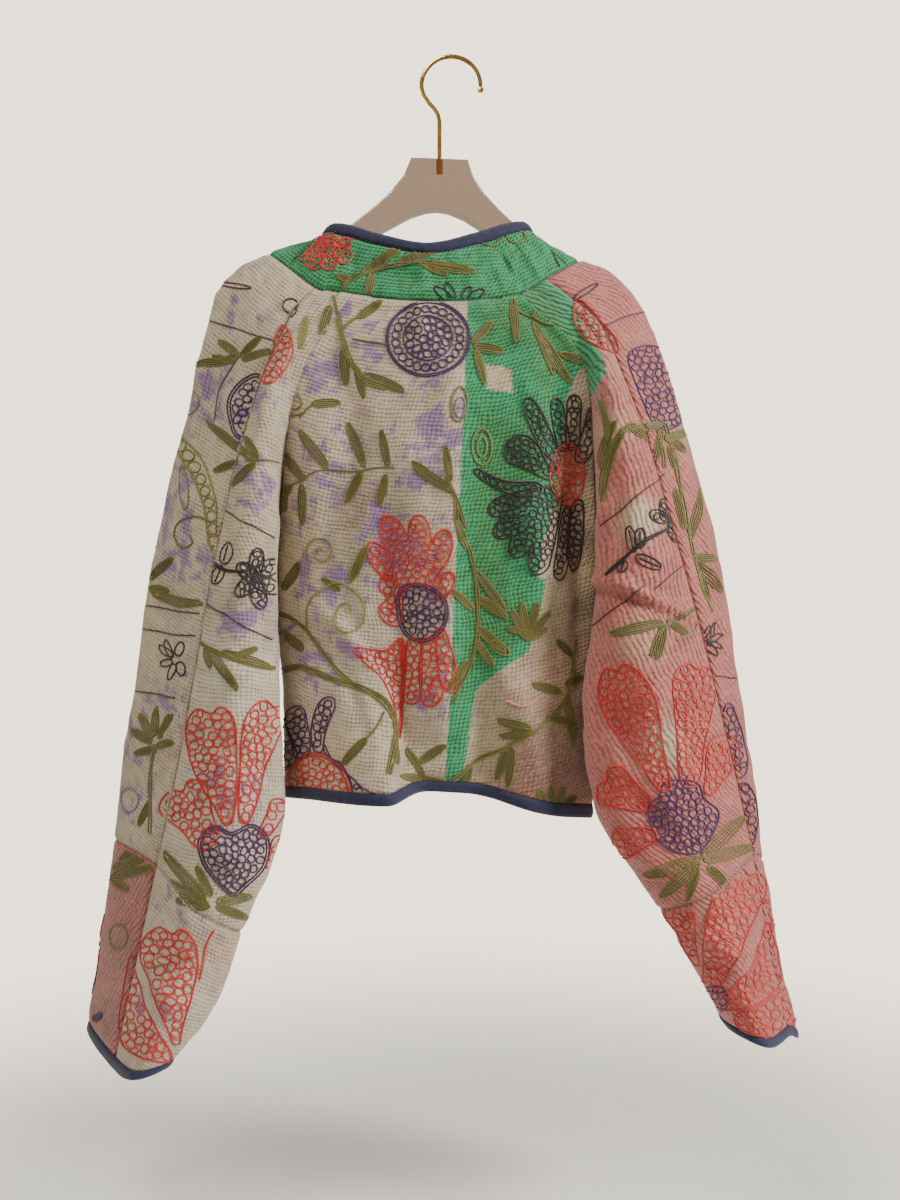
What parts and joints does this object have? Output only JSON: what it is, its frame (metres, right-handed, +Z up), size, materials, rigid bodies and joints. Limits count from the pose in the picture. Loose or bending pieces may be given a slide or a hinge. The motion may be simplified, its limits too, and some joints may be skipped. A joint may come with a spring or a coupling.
{
  "type": "quilted suzani jacket on a hanger",
  "caption": "Short, open-fronted quilted jacket with long tapering sleeves, neck band and dark edge binding, hanging on a clear hanger with a wire hook.",
  "frame": {"origin": "inside top of the hanger's hook, where a rod or wall hook holds it", "axes": "+Z up; -Y out of the jacket's back, the side shown; +X to the right of the back as shown"},
  "size_m": [0.6499, 0.1534, 0.8983],
  "materials": {
    "cloth_back": "quilted cotton, patched in grey-white, lavender, green and cream-pink",
    "cloth_offwhite": "quilted cotton, off-white with lavender blotches",
    "cloth_pink": "quilted cotton, salmon pink with a satin sheen",
    "cloth_green": "quilted cotton, green with small darker dots",
    "binding_navy": "folded cotton tape, dark navy",
    "acrylic_smoky": "clear acrylic with a smoky brown tint",
    "brass": "polished brass wire"
  },
  "bodies": {
    "root": {"hanger_plate": "acrylic_smoky", "hanger_hook": "brass", "hook_ferrule": "brass", "back": "cloth_back", "front_left": "cloth_offwhite", "front_right": "cloth_pink", "neck_band_back": "cloth_green", "neck_band_left": "cloth_green", "neck_band_right": "cloth_green", "sleeve_left_back": "cloth_offwhite", "sleeve_left_front": "cloth_offwhite", "sleeve_left_lower_back": "cloth_offwhite", "sleeve_left_lower_front": "cloth_pink", "sleeve_right_back": "cloth_pink", "sleeve_right_front": "cloth_pink", "sleeve_right_lower_back": "cloth_pink", "sleeve_right_lower_front": "cloth_pink", "neck_binding": "binding_navy", "hem_binding": "binding_navy", "cuff_binding_left": "binding_navy", "cuff_binding_right": "binding_navy"}
  },
  "joints": []
}
